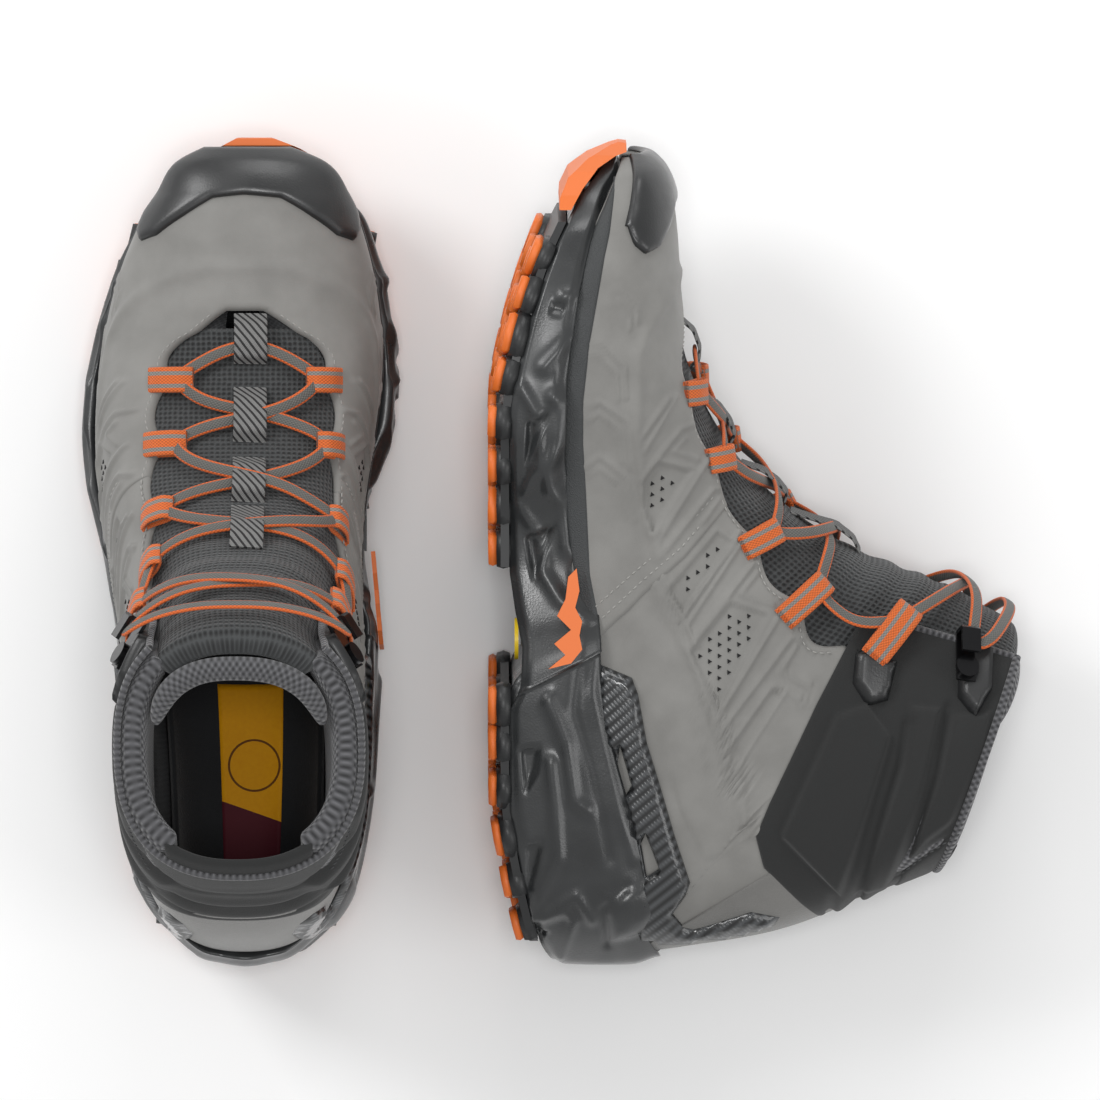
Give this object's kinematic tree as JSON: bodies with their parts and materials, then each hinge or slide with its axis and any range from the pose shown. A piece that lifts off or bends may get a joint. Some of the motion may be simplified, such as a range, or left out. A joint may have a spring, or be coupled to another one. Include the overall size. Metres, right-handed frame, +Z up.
{
  "type": "hiking boots",
  "caption": "Pair of mid-cut hiking boots with moulded rubber soles, grey leather uppers and a hinged black ankle cuff; the left stands and the right lies on its outer side.",
  "frame": {"origin": "middle of the pair's footprint, on the ground", "axes": "+Y from heels to toes, +X from the standing boot to the lying boot, +Z up"},
  "size_m": [0.3412, 0.3, 0.1939],
  "materials": {
    "outsole_rubber": "satin",
    "orange_rubber": "satin",
    "midsole_foam": "semi-gloss",
    "yellow_plastic": "gloss",
    "board": "matt",
    "footbed_cloth": "matt",
    "label_film": "satin",
    "toe_rubber": "satin",
    "rand_rubber": "satin",
    "grey_leather": "matt",
    "counter_board": "matt",
    "carbon_plastic": "semi-gloss",
    "grey_suede": "matt",
    "lining_mesh": "matt",
    "tongue_mesh": "matt",
    "striped_webbing": "matt",
    "orange_webbing": "matt",
    "lace_cord": "matt",
    "cuff_foam": "matt",
    "collar_knit": "matt",
    "black_metal": "semi-gloss"
  },
  "bodies": {
    "left_boot": {"left_outsole": "outsole_rubber", "left_lugs_front": "orange_rubber", "left_lugs_heel": "orange_rubber", "left_toe_bumper": "orange_rubber", "left_midsole": "midsole_foam", "left_heel_cradle": "midsole_foam", "left_arch_insert": "orange_rubber", "left_arch_badge": "yellow_plastic", "left_insole_board": "board", "left_footbed": "footbed_cloth", "left_footbed_label": "label_film", "left_toe_cap": "toe_rubber", "left_rand": "rand_rubber", "left_vamp": "grey_leather", "left_medial_quarter": "grey_leather", "left_lateral_quarter": "grey_leather", "left_heel_counter": "counter_board", "left_heel_clip": "carbon_plastic", "left_heel_panel": "grey_suede", "left_bootie_lining": "lining_mesh", "left_tongue": "tongue_mesh", "left_lace_keepers": "striped_webbing", "left_lace_loops": "orange_webbing", "left_lace": "lace_cord"},
    "left_cuff": {"left_cuff": "cuff_foam", "left_collar_pad": "collar_knit", "left_tongue_top": "tongue_mesh", "left_ankle_loops": "orange_webbing", "left_lace_hooks": "black_metal", "left_top_lace": "lace_cord"},
    "right_boot": {"right_outsole": "outsole_rubber", "right_lugs_front": "orange_rubber", "right_lugs_heel": "orange_rubber", "right_toe_bumper": "orange_rubber", "right_midsole": "midsole_foam", "right_heel_cradle": "midsole_foam", "right_arch_insert": "orange_rubber", "right_arch_badge": "yellow_plastic", "right_insole_board": "board", "right_footbed": "footbed_cloth", "right_footbed_label": "label_film", "right_toe_cap": "toe_rubber", "right_rand": "rand_rubber", "right_vamp": "grey_leather", "right_medial_quarter": "grey_leather", "right_lateral_quarter": "grey_leather", "right_heel_counter": "counter_board", "right_heel_clip": "carbon_plastic", "right_heel_panel": "grey_suede", "right_bootie_lining": "lining_mesh", "right_tongue": "tongue_mesh", "right_lace_keepers": "striped_webbing", "right_lace_loops": "orange_webbing", "right_lace": "lace_cord"},
    "right_cuff": {"right_cuff": "cuff_foam", "right_collar_pad": "collar_knit", "right_tongue_top": "tongue_mesh", "right_ankle_loops": "orange_webbing", "right_lace_hooks": "black_metal", "right_top_lace": "lace_cord"}
  },
  "joints": [
    {"name": "left_ankle_flex", "type": "hinge", "parent": "left_boot", "child": "left_cuff", "pos_m": [-0.1112, -0.091, 0.097], "axis": [-1, 0, 0], "range_deg": [-5, 8], "stiffness_Nm_per_rad": 3},
    {"name": "right_boot_away", "type": "slide", "parent": "left_boot", "child": "right_boot", "axis": [1, 0, 0], "range_m": [0, 0.15]},
    {"name": "right_ankle_flex", "type": "hinge", "parent": "right_boot", "child": "right_cuff", "pos_m": [0.07364, -0.09084, 0.04338], "axis": [0.0052, -0.1219, 0.9925], "range_deg": [-5, 8], "stiffness_Nm_per_rad": 3}
  ]
}
